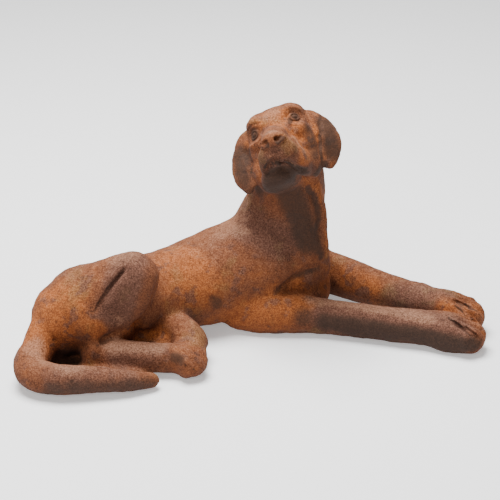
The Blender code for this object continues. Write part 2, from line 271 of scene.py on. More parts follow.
class HoundShape(bpy.types.PropertyGroup):
    """Sizes of the figure, on the pattern."""

    grain: FloatProperty(
        name="Clay grain",
        description="Width of one grain of the clay",
        default=0.003,
        unit="LENGTH",
    )
    edge_softness: FloatProperty(
        name="Edge softness",
        description="How far edges are rounded all over",
        default=0.007,
        unit="LENGTH",
    )
    plain_softness: FloatProperty(
        name="Plain softness",
        description="How far the plain parts away from the head and paws are rounded",
        default=0.016,
        unit="LENGTH",
    )
    ear_thickness: FloatProperty(
        name="Ear thickness", description="Thickness of the ear flaps", default=0.011, unit="LENGTH"
    )
    casting_waves: FloatProperty(
        name="Casting waves",
        description="Height of the uneven swells that the mould left in the skin",
        default=0.0012,
        unit="LENGTH",
    )
    triangles: IntProperty(name="Triangles", description="Most triangles in the skin", default=190000)


class RustAndPaintedLightLook(bpy.types.PropertyGroup):
    """Colours of the rusted skin and of its painted shade and highlight."""

    # Also painted light: lit strips down the neck front and beside one ear fold, and a lightened hollow
    # by the shin
    bright: FloatVectorProperty(
        name="Bright rust",
        description="Fresh rust",
        size=4,
        subtype="COLOR",
        default=(0.4, 0.12, 0.028, 1),
    )
    brown: FloatVectorProperty(
        name="Brown rust",
        description="Old rust",
        size=4,
        subtype="COLOR",
        default=(0.22, 0.075, 0.03, 1),
    )
    plum: FloatVectorProperty(
        name="Plum rust",
        description="Hard rust on handled places",
        size=4,
        subtype="COLOR",
        default=(0.16, 0.07, 0.045, 1),
    )
    olive: FloatVectorProperty(
        name="Olive rust",
        description="Faded rust",
        size=4,
        subtype="COLOR",
        default=(0.2, 0.13, 0.05, 1),
    )
    # Partly painted highlight: this pale colour lies on upward faces and highlit places of wear,
    # besides random pale patches and grains
    bloom_and_highlight: FloatVectorProperty(
        name="Bloom",
        description="Pale dust on the top of the rust and where hands have worn it",
        size=4,
        subtype="COLOR",
        default=(0.36, 0.18, 0.105, 1),
    )
    # Painted shade: this colour darkens the creases, recesses, undersides, eye sockets and nostrils; it
    # also colours the dark grains
    dark: FloatVectorProperty(
        name="Dark iron",
        description="Wet dark iron in the recesses",
        size=4,
        subtype="COLOR",
        default=(0.026, 0.014, 0.008, 1),
    )
    # Painted shade: faces turned sideways or down are multiplied by this colour
    side_and_underside_shade: FloatVectorProperty(
        name="Damp",
        description="What the rust is multiplied by where it faces sideways or down",
        size=4,
        subtype="COLOR",
        default=(0.55, 0.5, 0.46, 1),
    )
    grain_shade: FloatVectorProperty(
        name="Grain shade",
        description="What the rust is multiplied by between its grains",
        size=4,
        subtype="COLOR",
        default=(0.5, 0.42, 0.36, 1),
    )
    pebble_height: FloatProperty(
        name="Pebble height",
        description="Height of the fine rust scale",
        default=0.0012,
        unit="LENGTH",
    )


class StudioLook(bpy.types.PropertyGroup):
    """The floor, the lamps and the camera."""

    floor_colour: FloatVectorProperty(
        name="Floor",
        description="Colour of the floor",
        size=4,
        subtype="COLOR",
        default=(0.93, 0.93, 0.93, 1),
    )
    floor_glow: FloatProperty(
        name="Floor glow", description="Light that the floor gives of itself", default=0.4
    )
    room_light: FloatProperty(name="Room light", description="Light from all round", default=0.25)
    key_power: FloatProperty(
        name="Key lamp", description="Power of the main lamp", default=280, unit="POWER"
    )
    key_size: FloatProperty(
        name="Key size", description="Width of the main lamp", default=2.0, unit="LENGTH"
    )
    fill_power: FloatProperty(
        name="Fill lamp", description="Power of the lamp in front", default=28, unit="POWER"
    )
    fill_size: FloatProperty(
        name="Fill size", description="Width of the lamp in front", default=1.6, unit="LENGTH"
    )
    camera_rise: FloatProperty(
        name="Camera rise",
        description="How far the camera looks down",
        default=math.radians(24),
        unit="ROTATION",
    )
    camera_distance: FloatProperty(
        name="Camera distance",
        description="From the camera to the figure",
        default=3.202,
        unit="LENGTH",
    )
    lens: FloatProperty(
        name="Lens",
        description="Focal length of the camera",
        default=115.2,
        subtype="DISTANCE_CAMERA",
    )


def shape():
    """The sizes set in the panel."""
    return bpy.context.scene.hound_shape


def through(stations, steps):
    """Rows of numbers on a smooth curve through the stations, with so many steps between each two."""
    rows = np.array(stations, float)
    padded = np.vstack([2 * rows[0] - rows[1], rows, 2 * rows[-1] - rows[-2]])
    found = []
    for span in range(len(rows) - 1):
        before, start, end, after = padded[span : span + 4]
        for t in np.arange(steps) / steps:
            found.append(
                0.5
                * (
                    2 * start
                    + (end - before) * t
                    + (2 * before - 5 * start + 4 * end - after) * t**2
                    + (3 * start - before - 3 * end + after) * t**3
                )
            )
    found.append(rows[-1])
    return np.array(found)


def smooth_share(value):
    """A smooth step from 0 to 1, level outside them."""
    value = np.clip(value, 0, 1)
    return value * value * (3 - 2 * value)


class Clay:
    """Closed forms in one mesh, still overlapping. place turns and moves each form as it is added."""

    def __init__(self):
        self.mesh = bmesh.new()
        self.place = Matrix.Identity(4)

    def ball(self, centre, radii, turns=(0, 0, 0)):
        """An ellipsoid. turns are degrees about its own X, Y and Z."""
        turned = Matrix.Translation(centre)
        for angle, axis in zip(turns, "XYZ"):
            turned = turned @ Matrix.Rotation(math.radians(angle), 4, axis)
        placed = self.place @ turned @ Matrix.Diagonal((*radii, 1))
        bmesh.ops.create_icosphere(self.mesh, subdivisions=4, radius=1, matrix=placed)

    def roll(self, stations, up=UP, square=1.0, blunt=1.0):
        """A roll of clay with round ends. A station is x, y, z, half width, half height.

        A square under 1 flattens the sides of its sections and keeps their rims thick, and a
        blunt under 1 flattens its ends.
        """
        rows = through(stations, RINGS_PER_SPAN)
        places = [Vector(row[:3]) for row in rows]
        steps = [(b - a).normalized() for a, b in zip(places, places[1:])]
        ahead = [steps[0], *[(a + b).normalized() for a, b in zip(steps, steps[1:])], steps[-1]]
        roll = bmesh.new()
        rings = []
        for index, (centre, along, row) in enumerate(zip(places, ahead, rows)):
            angles = END_ANGLES if index in (0, len(rows) - 1) else (0,)
            outward = -along if index == 0 else along
            reach = min(row[3], row[4]) * blunt
            sections = [
                section(
                    roll,
                    centre + outward * reach * math.sin(angle),
                    along,
                    row[3:5] * math.cos(angle),
                    up,
                    square,
                )
                for angle in angles
            ]
            rings += reversed(sections) if index == 0 else sections
        for ring, after in zip(rings, rings[1:]):
            bmesh.ops.bridge_loops(roll, edges=ring + after)
        for ring in (rings[0], rings[-1]):
            bmesh.ops.contextual_create(roll, geom=ring)
        bmesh.ops.recalc_face_normals(roll, faces=roll.faces)
        roll.transform(self.place)
        kept = bpy.data.meshes.new("roll")
        roll.to_mesh(kept)
        roll.free()
        self.mesh.from_mesh(kept)
        bpy.data.meshes.remove(kept)


def section(roll, centre, along, halves, up, square):
    """The edges of one section of a roll, square to the way it runs."""
    side = along.cross(up).normalized()
    top = side.cross(along)
    ring = bmesh.ops.create_circle(roll, segments=RING_SIDES, radius=1)["verts"]
    for vertex in ring:
        across, over = (math.copysign(abs(x) ** square, x) for x in vertex.co.xy)
        vertex.co = centre + side * across * halves[0] + top * over * halves[1]
    return list({edge for vertex in ring for edge in vertex.link_edges})


def head_matrix():
    """From the head's own frame (X to its right, Y along the muzzle, Z up) to the pattern's."""
    return (
        Matrix.Translation(HEAD_PLACE)
        @ Matrix.Rotation(math.radians(180 - HEAD_TURN), 4, "Z")
        @ Matrix.Rotation(math.radians(HEAD_LIFT), 4, "X")
        @ Matrix.Rotation(math.radians(HEAD_TILT), 4, "Y")
        @ Matrix.Scale(HEAD_SCALE, 4)
    )


def torso(clay):
    """Rump, loin, ribs and chest, along a back that bends towards the near side, and the seat."""
    clay.roll(
        [
            (-350, -104, 92, 72, 76),
            (-322, -94, 100, 88, 88),
            (-260, -50, 98, 90, 82),
            (-185, 10, 90, 84, 80),
            (-110, 56, 90, 94, 90),
            (-40, 88, 100, 105, 98),
            (25, 104, 114, 102, 104),
            (72, 100, 126, 78, 84),
        ]
    )
    clay.ball((102, 118, 54), (66, 88, 62))
    clay.ball((-328, -75, 40), (84, 62, 44))


def neck(clay):
    """The upright neck and the loose skin down its front."""
    forward = Vector((0.25, -1, 0))
    clay.roll(
        [
            (42, 112, 150, 92, 92),
            (62, 108, 205, 88, 84),
            (75, 98, 262, 77, 76),
            (74, 84, 318, 73, 70),
            (72, 72, 370, 62, 62),
        ],
        up=forward,
    )
    clay.roll([(112, 78, 110, 42, 42), (104, 66, 190, 38, 38), (94, 56, 280, 34, 34)], up=forward)
    clay.roll(
        [
            (138, 80, 112, 28, 28),
            (138, 66, 185, 20, 22),
            (135, 60, 240, 19, 20),
            (121, 52, 300, 18, 18),
        ]
    )


def foreleg_near(clay):
    """Shoulder, elbow and the foreleg that lies nearest to the viewer."""
    clay.ball((5, 58, 118), (84, 56, 92), (0, -25, 0))
    clay.roll([(50, 52, 140, 50, 45), (15, 44, 92, 46, 46), (-18, 30, 54, 38, 42)])
    clay.roll(
        [
            (-25, 26, 42, 34, 42),
            (30, 22, 42, 42, 48),
            (80, 18, 42, 40, 45),
            (140, 10, 37, 35, 38),
            (220, -10, 36, 33, 36),
            (300, -31, 36, 34, 36),
            (350, -43, 37, 36, 36),
        ]
    )
    paw(clay, *NEAR_FOREPAW)


def foreleg_far(clay):
    """The other shoulder and elbow, and a foreleg that comes in beside the near one."""
    clay.ball((96, 182, 124), (62, 48, 88), (0, -15, 0))
    clay.roll([(108, 195, 130, 48, 46), (122, 215, 90, 44, 44)])
    clay.roll(
        [
            (115, 225, 50, 42, 44),
            (170, 200, 45, 40, 46),
            (220, 158, 45, 38, 44),
            (270, 112, 46, 37, 40),
            (320, 70, 49, 36, 38),
            (350, 46, 51, 37, 38),
        ]
    )
    paw(clay, *FAR_FOREPAW)


def paw(clay, wrist, toes, half_width, half_height):
    """The back of a paw from the wrist to the toes, and a knuckle for each of its four toes."""
    along, side = paw_axes(wrist, toes)
    wrist, toes = Vector(wrist), Vector(toes)
    clay.roll(
        [
            (*wrist, half_width * 0.82, half_height * 0.9),
            (*wrist.lerp(toes, 0.55), half_width * 0.96, half_height),
            (*toes, half_width * 0.92, half_height * 0.8),
        ],
        square=0.75,
    )
    for place, reach in ((-0.7, -4), (-0.24, 5), (0.24, 5), (0.7, -4)):
        knuckle = toes + side * place * half_width + along * reach + UP * 4
        clay.ball(knuckle, (half_width * 0.36, half_width * 0.36, half_height * 0.65))


def paw_axes(wrist, toes):
    """The level ways along a paw and across it."""
    along = Vector(toes) - Vector(wrist)
    along.z = 0
    along.normalize()
    return along, along.cross(UP)


def hindleg_near(clay):
    """The folded near leg: thigh up to a raised knee, shin down to the hock, foot forward."""
    clay.roll([(-328, -98, 108, 72, 72), (-280, -102, 144, 62, 62), (-222, -106, 183, 45, 47)])
    clay.roll(
        [
            (-213, -108, 180, 42, 44),
            (-232, -114, 135, 44, 43),
            (-260, -116, 88, 39, 36),
            (-286, -126, 52, 30, 30),
        ],
        up=Vector((1, 0, 0)),
    )
    clay.ball((-296, -146, 40), (30, 42, 50))
    clay.roll([(-270, -160, 38, 31, 33), (-210, -160, 33, 29, 30), (-135, -164, 32, 28, 29)])
    paw(clay, *NEAR_HINDPAW)


def hindleg_far(clay):
    """The leg underneath: its thigh lies on the ground, its foot curls round to the near one."""
    clay.ball((-275, -5, 62), (95, 60, 60), (0, 0, 25))
    clay.ball((-196, -58, 20), (88, 74, 34))
    foot = [(-225, -62, 44, 26, 30), (-180, -62, 50, 28, 32), (-140, -72, 48, 32, 34)]
    clay.roll([*foot, (-114, -108, 38, 34, 34)])
    clay.ball((-118, -136, 30), (36, 38, 32))


def tail(clay):
    """Down from the rump, round on the ground and forward along the near side."""
    route = [
        (-364, -112, 100),
        (-386, -134, 80),
        (-405, -166, 50),
        (-415, -204, 40),
        (-398, -238, 35),
        (-350, -254, 35),
        (-292, -250, 33),
        (-236, -244, 27),
        (-184, -226, 18),
    ]
    root, tip = 33, 17
    last = len(route) - 1
    stations = []
    for index, place in enumerate(route):
        swell = 1 + 0.3 * max(0, 1 - index / 2)
        taper = max(0, index / last - 0.4) / 0.6
        radius = (root + (tip - root) * taper**1.5) * swell
        stations.append((*place, radius, radius))
    clay.roll(stations)
    clay.ball((-328, -165, 2), (62, 52, 18))
    clay.ball((-388, -120, 24), (38, 38, 32))
    clay.ball((-270, -188, 8), (80, 50, 24))


def head(clay):
    """Skull, muzzle, lips, jaw and nose, in the head's own frame."""
    clay.place = head_matrix()
    clay.ball((0, -22, 18), (62, 68, 57))
    bridge = [(0, 8, 2, 30, 26), (0, 40, 0, 26, 24), (0, 70, -12, 24, 22), (0, 92, -22, 23, 20)]
    clay.roll(bridge, blunt=0.7)
    clay.roll([(0, 0, -30, 42, 42), (0, 45, -34, 38, 38), (0, 80, -36, 30, 26)], blunt=0.7)
    clay.roll([(14, -20, -60, 34, 26), (20, 25, -71, 33, 19), (17, 60, -77, 28, 17)], square=0.7)
    clay.ball((0, 86, -43), (37, 23, 24))
    clay.ball((-3, 106, -28), (28, 14, 17))
    for side in (-1, 1):
        clay.ball((side * 29, 10, 42), (26, 25, 18))
        clay.ball((side * 26, -8, 44), (31, 34, 27))
        clay.ball((side * 34, 14, 6), (24, 25, 25))
        clay.ball((side * 40, -14, -14), (25, 44, 50))
        clay.ball((side * 42 + 4, -6, -44), (22, 34, 36))
    right = [(14, 84, -43, 17, 20), (21, 66, -49, 20, 25), (26, 40, -53, 19, 27)]
    left = [(-14, 84, -45, 17, 20), (-21, 66, -51, 19, 26), (-27, 42, -56, 18, 27)]
    clay.roll([*right, (30, 12, -54, 18, 28)])
    clay.roll([*left, (-29, 14, -54, 16, 26)])
    clay.place = Matrix.Identity(4)


def ears(clay):
    """Flat flaps that hang from the sides of the skull, each with its own swing."""
    clay.place = head_matrix()
    thick = shape().ear_thickness * 500
    right = [(65, -13, 29, 24), (80, -12, 4, 27), (88, -8, -26, 26), (83, -4, -56, 17)]
    left = [(-64, -18, 30, 21), (-81, -20, 6, 25), (-84, -20, -24, 26), (-68, -16, -57, 20)]
    for flap, facing in ((right, (0.5, 0.85, 0.1)), (left, (-0.8, 0.6, 0.1))):
        stations = [(*row, thick + 3 * (index == 0)) for index, row in enumerate(flap)]
        clay.roll(stations, up=Vector(facing), square=0.55, blunt=3)
    clay.place = Matrix.Identity(4)


FORMS = (torso, neck, foreleg_near, foreleg_far, hindleg_near, hindleg_far, tail, head, ears)


class Skin:
    """The figure's skin under a modelling tool, which pushes it in or out along its own normals."""

    def __init__(self, figure):
        self.figure = figure
        self.points = vertex_values(figure.data, "co", 3)
        self.normals = vertex_values(figure.data, "normal", 3)

    def groove(self, route, width, depth, place=Matrix.Identity(4)):
        """A valley along the route, which is laid on the skin first and fades at both ends."""
        line = [place @ Vector(point) for point in through(route, 8)]
        line = np.array([self.figure.closest_point_on_mesh(point)[1] for point in line])
        low, high = line.min(0) - width, line.max(0) + width
        near = np.flatnonzero(((self.points > low) & (self.points < high)).all(1))
        starts, runs = line[:-1], np.diff(line, axis=0)
        lengths = np.maximum((runs**2).sum(1), 1e-9)
        offsets = self.points[near][:, None, :] - starts
        share = np.clip((offsets * runs).sum(2) / lengths, 0, 1)
        gaps = np.linalg.norm(offsets - share[..., None] * runs, axis=2)
        closest = gaps.argmin(1)
        rows = np.arange(len(near))
        away = gaps[rows, closest] / width
        along = (closest + share[rows, closest]) / len(runs)
        fade = np.sin(np.clip(np.minimum(along, 1 - along) * 4, 0.05, 1) * math.pi / 2) ** 2
        push = np.where(away < 1, (1 - away**2) ** 2, 0) * fade * depth
        self.points[near] -= self.normals[near] * push[:, None]

    def hollow(self, centre, radius, depth, place=Matrix.Identity(4)):
        """A round dent, or with a negative depth a swelling."""
        middle = self.figure.closest_point_on_mesh(place @ Vector(centre))[1]
        away = np.linalg.norm(self.points - np.array(middle), axis=1) / radius
        push = np.where(away < 1, (1 - away**2) ** 2, 0) * depth
        self.points -= self.normals * push[:, None]

    def uneven(self, height):
        """The skin of a sand casting, in broad waves with small ones on them."""
        waves = [
            mathutils.noise.noise(point / BROAD_WAVE) + 0.5 * mathutils.noise.noise(point / SMALL_WAVE)
            for point in map(Vector, self.points)
        ]
        self.points += self.normals * (np.array(waves) * height)[:, None]

    def finish(self):
        """Gives the figure its new points, none of them under the ground."""
        self.points[:, 2] = np.maximum(self.points[:, 2], 0)
        self.figure.data.vertices.foreach_set("co", self.points.ravel())
        self.figure.data.update()


def grain():
    return shape().grain * 1000


def press_together(clay, name):
    """One closed skin round all the forms, softened most away from the head and the paws."""
    mesh = bpy.data.meshes.new(name)
    clay.mesh.to_mesh(mesh)
    clay.mesh.free()
    figure = resurfaced(bpy.data.objects.new(name, mesh))
    points = np.array([vertex.co for vertex in figure.data.vertices])
    softness = np.ones(len(points))
    for centre, reach in FIRM_PLACES:
        softness *= np.clip(np.linalg.norm(points - np.array(centre), axis=1) / reach - 1, 0, 1)
    plain = figure.vertex_groups.new(name="plain")
    for index, weight in enumerate(softness.tolist()):
        plain.add([index], weight, "REPLACE")
    for reach, group in ((shape().edge_softness, ""), (shape().plain_softness, "plain")):
        soften = figure.modifiers.new("soften", "SMOOTH")
        soften.factor = 0.5
        soften.iterations = round(2 * (reach * 1000 / grain()) ** 2)
        soften.vertex_group = group
    return applied(figure)


def resurfaced(thing):
    """The thing under one new skin of even grains."""
    skin = thing.modifiers.new("skin", "REMESH")
    skin.mode = "VOXEL"
    skin.voxel_size = grain()
    return applied(thing)


def applied(thing):
    """A new object that keeps what the modifiers of the given one make."""
    if thing.name not in bpy.context.scene.collection.objects:
        bpy.context.scene.collection.objects.link(thing)
    mesh = bpy.data.meshes.new_from_object(thing.evaluated_get(bpy.context.evaluated_depsgraph_get()))
    name = thing.name
    bpy.data.objects.remove(thing)
    made = bpy.data.objects.new(name, mesh)
    bpy.context.scene.collection.objects.link(made)
    bpy.context.view_layer.update()
    return made


def carve(figure):
    """The carving that shows from a step away, which the CAD solid has too."""
    skin = Skin(figure)
    carve_body(skin)
    carve_paws(skin)
    carve_face(skin)
    skin.finish()


def carve_body(skin):
    """The folds where the limbs meet the body, and the loose skin of the shoulder and throat."""
    skin.groove([(-225, -130, 215), (-245, -140, 195), (-265, -150, 170), (-295, -165, 125)], 9, 6)
    skin.groove([(-175, -115, 190), (-185, -125, 155), (-190, -125, 125), (-215, -125, 75)], 16, 6)
    skin.groove([(-290, -175, 65), (-275, -165, 75), (-260, -160, 80), (-225, -140, 90)], 14, 7)
    skin.groove([(-215, -145, 110), (-215, -125, 80), (-210, -105, 50), (-165, -105, 45)], 22, 12)
    skin.groove([(0, 55, 230), (25, 35, 215), (50, 30, 200), (85, 30, 180)], 12, 3.5)
    skin.groove([(-10, 55, 220), (15, 35, 205), (40, 25, 190)], 12, 3)
    skin.groove([(45, 0, 85), (70, 30, 95), (90, 35, 110), (115, 40, 120), (140, 45, 125)], 20, 8)
    skin.groove([(-40, 5, 160), (-40, -10, 130), (-40, -15, 100), (-25, -10, 65)], 24, 4)
    skin.groove([(170, 175, 80), (185, 145, 65), (195, 130, 45)], 16, 3)
    skin.groove([(115, 25, 305), (125, 25, 285), (135, 40, 255), (140, 40, 210), (145, 45, 155)], 12, 5)


def carve_paws(skin):
    """Three grooves on each paw, which fan out between its toes and turn down its front."""
    for (wrist, toes, half_width, half_height), start in (
        (NEAR_FOREPAW, -1.2),
        (FAR_FOREPAW, -1.2),
        (NEAR_HINDPAW, -0.5),
    ):
        along, side = paw_axes(wrist, toes)
        size = Vector((half_width, half_width, half_height))
        steps = ((start, 0.7, 1.3), (-0.2, 0.9, 1.2), (0.3, 1.1, 0.7), (0.7, 1.2, -0.2))
        for place in (-0.6, 0.05, 0.7):
            route = [
                Vector(toes) + (along * ahead + side * place * fan + UP * height) * size
                for ahead, fan, height in steps
            ]
            skin.groove(route, 10, 7)


def carve_face(skin):
    """Eye sockets, brows, the folds before the ears, nostrils, lips and the groove over the lips."""
    head = head_matrix()
    for side in (-1, 1):
        skin.hollow((side * 40, 32, 29 - 2 * side), 20, 9, head)
        skin.hollow((side * 32, 30, 48), 18, -3, head)
    skin.groove([(72, -6, 24), (68, 0, -8), (63, 0, -38)], 12, 5, head)
    skin.groove([(-76, -18, 28), (-74, -6, 3), (-68, -4, -19), (-60, -2, -45)], 9, 3, head)
    for place in ((12, 117, -31), (-12, 117, -30)):
        skin.hollow(place, 9, 5, head)
    right = [(0, 100, -65), (10, 98, -62), (20, 90, -61), (30, 82, -65), (38, 64, -74)]
    left = [(0, 100, -66), (-10, 90, -72), (-22, 76, -82), (-33, 56, -88), (-40, 28, -86)]
    for lip in (right, left):
        skin.groove(lip, 9, 9, head)
    skin.groove([(4, 107, -46), (3, 104, -55), (2, 98, -64)], 8, 3, head)


def fine_eye(skin, centre, facing, head):
    """Sets an eyeball with its lids and socket into the face, along the way that the eye looks."""
    middle = np.array(head @ Vector(centre))
    turn = head.to_3x3()
    axis = np.array((turn @ Vector(facing)).normalized())
    side = np.cross(turn @ UP, axis)
    side /= np.linalg.norm(side)
    top = np.cross(axis, side)
    near = np.flatnonzero(np.linalg.norm(skin.points - middle, axis=1) < EYE_ROOM)
    offsets = skin.points[near] - middle
    across, over, height = offsets @ side, offsets @ top, offsets @ axis
    terms = np.stack([np.ones_like(across), across, over, across**2, over**2, across * over], 1)
    rim = np.hypot(across, over)
    face = (rim > FACE_RING[0]) & (rim < FACE_RING[1])
    level = terms @ np.linalg.lstsq(terms[face], height[face], rcond=None)[0]
    away = np.hypot(across / 1.25, over * np.where(over > 0, 1.12, 1))
    rows = through(EYE_PROFILE, 6)
    wanted = level + np.interp(away, rows[:, 0], rows[:, 1])
    push = (wanted - height) * smooth_share((EYE_REACH - away) / EYE_FADE)
    skin.points[near] += axis * push[:, None]


def fine_face(skin):
    """Eyes, nostrils, the edge of the nose leather, the lips and the groove between nose and lips."""
    head = head_matrix()
    for centre, facing in (((39, 27, 23), (0.5, 0.85, 0.12)), ((-40, 28, 29), (-0.5, 0.85, 0.12))):
        fine_eye(skin, centre, facing, head)
    nose = Vector((0, 118, -28))
    for side in (-1, 1):
        skin.hollow(nose + Vector((side * 11.5, 0, -1)), 7.5, 7, head)
        wing = [(14, 0, 0), (21, -3, 2), (26, -8, 8)]
        skin.groove([nose + Vector((side * x, y, z)) for x, y, z in wing], 4.5, 4, head)
        edge = [(6, 2, -14), (16, -1, -15), (27, -8, -8), (31, -14, 4), (27, -14, 15)]
        skin.groove([nose + Vector((side * x, y, z)) for x, y, z in edge], 5, 3, head)
    lips = [(30, 82, -65), (20, 90, -61), (9, 100, -60), (0, 98, -63), (-5, 86, -67), (-14, 74, -77)]
    skin.groove([*lips, (-24, 58, -82), (-36, 30, -83)], 6, 7, head)
    skin.groove([(x, y + 3, z + 8) for x, y, z in [*lips, (-24, 58, -82)]], 7, -3.5, head)
    under = [nose + Vector((0, 2, 6)), nose + Vector((0, 2, -8)), nose + Vector((1, 0, -20))]
    skin.groove([*under, (2, 104, -58), (1, 100, -66)], 4, 2.5, head)


def fine_skin(figure):
    """The carved figure at twice the fineness, with what is too small for the clay."""
    finer = figure.modifiers.new("finer", "SUBSURF")
    finer.levels = finer.render_levels = 1
    figure = applied(figure)
    skin = Skin(figure)
    fine_face(skin)
    fine_body(skin)
    skin.finish()
    return figure


def fine_body(skin):
    """Cracks and dents that the casting shows close up."""
    skin.uneven(shape().casting_waves * 1000)
    skin.groove([(380, -60, 72), (395, -70, 67), (415, -85, 55), (435, -100, 40)], 5, 5)
    skin.groove([(415, -80, 60), (435, -93, 50), (448, -100, 38)], 5, 4)
    skin.groove([(405, -10, 72), (425, -20, 60), (440, -40, 55), (450, -50, 40)], 6, 5)
    skin.groove([(405, 5, 74), (420, 2, 70), (435, -5, 65), (450, -10, 55)], 6, 5)
    skin.groove([(-230, -130, 210), (-250, -142, 190), (-275, -155, 160), (-298, -166, 125)], 4.5, 5)
    skin.groove([(20, 45, 220), (40, 35, 205), (60, 30, 195), (80, 30, 185), (100, 30, 170)], 7, 2.5)
    skin.groove([(55, 15, 95), (75, 30, 105), (95, 35, 122), (120, 40, 135)], 8, 2.5)
    skin.groove([(118, 10, 280), (126, 22, 240), (130, 28, 200)], 9, 2)
    for pit in PITS:
        skin.hollow(pit, 6, 3)


def hollows(figure):
    """How deep each point lies in a groove, in millimetres, kept with the skin as an attribute."""
    smoother = figure.copy()
    bpy.context.scene.collection.objects.link(smoother)
    soften = smoother.modifiers.new("soften", "SMOOTH")
    soften.factor = 0.5
    soften.iterations = 62
    smoother = applied(smoother)
    level = vertex_values(smoother.data, "co", 3)
    points = vertex_values(figure.data, "co", 3)
    normals = vertex_values(figure.data, "normal", 3)
    bpy.data.objects.remove(smoother)
    depth = ((level - points) * normals).sum(1)
    keep(figure, "hollow", depth)


def vertex_values(mesh, name, width):
    """One row of numbers for each vertex of the mesh."""
    values = np.empty(len(mesh.vertices) * width)
    mesh.vertices.foreach_get(name, values)
    return values.reshape(-1, width)


def fewer_triangles(figure):
    """Fewer triangles where the skin is plain, and most of them on the head and the paws."""
    points = vertex_values(figure.data, "co", 3)
    fine = np.zeros(len(points))
    for centre, reach in FINE_PLACES:
        near = 1 - np.linalg.norm(points - np.array(centre), axis=1) / (reach * 1.6)
        fine = np.maximum(fine, smooth_share(near * 3))
    group = figure.vertex_groups.new(name="fine")
    for level in np.arange(1, 11):
        chosen = np.flatnonzero(np.round(fine * 10) == level)
        group.add(chosen.tolist(), level / 10, "REPLACE")
    fewer = figure.modifiers.new("fewer", "DECIMATE")
    fewer.ratio = shape().triangles / (2 * len(figure.data.polygons))
    fewer.use_collapse_triangulate = True
    fewer.vertex_group = group.name
    fewer.invert_vertex_group = True
    fewer.vertex_group_factor = 2
    return applied(figure)


def keep(figure, name, values):
    """Keeps a value for each vertex of the figure as an attribute of its mesh."""
    attribute = figure.data.attributes.new(name, "FLOAT", "POINT")
    attribute.data.foreach_set("value", values.astype(np.float32))


def spread_rust_and_painted_light(figure):
    """How much rust, painted shade and painted highlight each point carries, and how far it faces up,
    kept as attributes.
    """
    points = vertex_values(figure.data, "co", 3)
    # How far each point faces up, from which tops are painted lighter and sides and undersides darker
    keep(figure, "upward", vertex_values(figure.data, "normal", 3)[:, 2])
    head = head_matrix()
    for name, places in RUST_AND_PAINTED_LIGHT_PLACES.items():
        on_head = [
            ([head @ Vector(point) for point in route], reach, strength)
            for route, reach, strength in HEAD_RUST_AND_PAINTED_LIGHT_PLACES[name]
        ]
        amount = np.zeros(len(points))
        for route, reach, strength in [*places, *on_head]:
            for centre in rust_and_painted_light_centres(figure, route, reach):
                away = np.linalg.norm(points - centre, axis=1) / reach
                amount = np.maximum(amount, strength * smooth_share(1.25 - away))
        keep(figure, name, amount)


def rust_and_painted_light_centres(figure, route, reach):
    """Middles of rust, painted shade and painted highlight along a route. Those of a small reach are
    laid on the skin first.
    """
    centres = through(route, 6) if len(route) > 1 else np.array(route, float)
    if reach >= SNAP_REACH:
        return centres
    return [np.array(figure.closest_point_on_mesh(Vector(centre))[1]) for centre in centres]


def fit_to_solid(figure):
    """Brings the pattern to the box of the CAD solid, with its origin where the CAD has it."""
    points = vertex_values(figure.data, "co", 3)
    low, high = points.min(0), points.max(0)
    solid_low, solid_high = (np.array(corner) for corner in CAD_BOX)
    points = solid_low + (points - low) * (solid_high - solid_low) / (high - low)
    figure.data.vertices.foreach_set("co", points.ravel())
    figure.data.update()
    figure.data.polygons.foreach_set("use_smooth", [True] * len(figure.data.polygons))


class Shade:
    """A value, colour or vector of a material, on which Python expressions add nodes."""

    def __init__(self, tree, socket=None):
        self.tree = tree
        self.socket = socket

    def node(self, kind, sockets, output=0, **settings):
        """A new node of this kind. Its settings are set before its sockets."""
        made = self.tree.nodes.new(kind)
        for name, value in settings.items():
            setattr(made, name, value)
        for key, value in sockets.items():
            if isinstance(value, Shade):
                self.tree.links.new(value.socket, made.inputs[key])
            else:
                made.inputs[key].default_value = value
        return Shade(self.tree, made.outputs[output])

    def maths(self, operation, first, second=0.0):
        return self.node("ShaderNodeMath", {0: first, 1: second}, operation=operation)

    def __add__(self, other):
        return self.maths("ADD", self, other)

    def __radd__(self, other):
        return self.maths("ADD", other, self)

    def __sub__(self, other):
        return self.maths("SUBTRACT", self, other)

    def __rsub__(self, other):
        return self.maths("SUBTRACT", other, self)

    def __mul__(self, other):
        return self.maths("MULTIPLY", self, other)

    def __rmul__(self, other):
        return self.maths("MULTIPLY", other, self)

    def rise(self, low, high):
        """0 at low, 1 at high, and a smooth step between them, whichever of them is the larger."""
        sockets = {"Value": self, "From Min": low, "From Max": high}
        return self.node("ShaderNodeMapRange", sockets, interpolation_type="SMOOTHSTEP")

    def blend(self, under, over, kind="MIX"):
        """The colour under, covered by the colour over as far as this mask says."""
        sockets = {0: self, 6: under, 7: over}
        return self.node("ShaderNodeMix", sockets, output=2, data_type="RGBA", blend_type=kind)


def noise(place, scale, detail=3.0, roughness=0.6, distortion=0.0):
    """Cloudy noise round a half, with so many clouds to the metre."""
    sockets = {
        "Vector": place,
        "Scale": scale,
        "Detail": detail,
        "Roughness": roughness,
        "Distortion": distortion,
    }
    return place.node("ShaderNodeTexNoise", sockets)


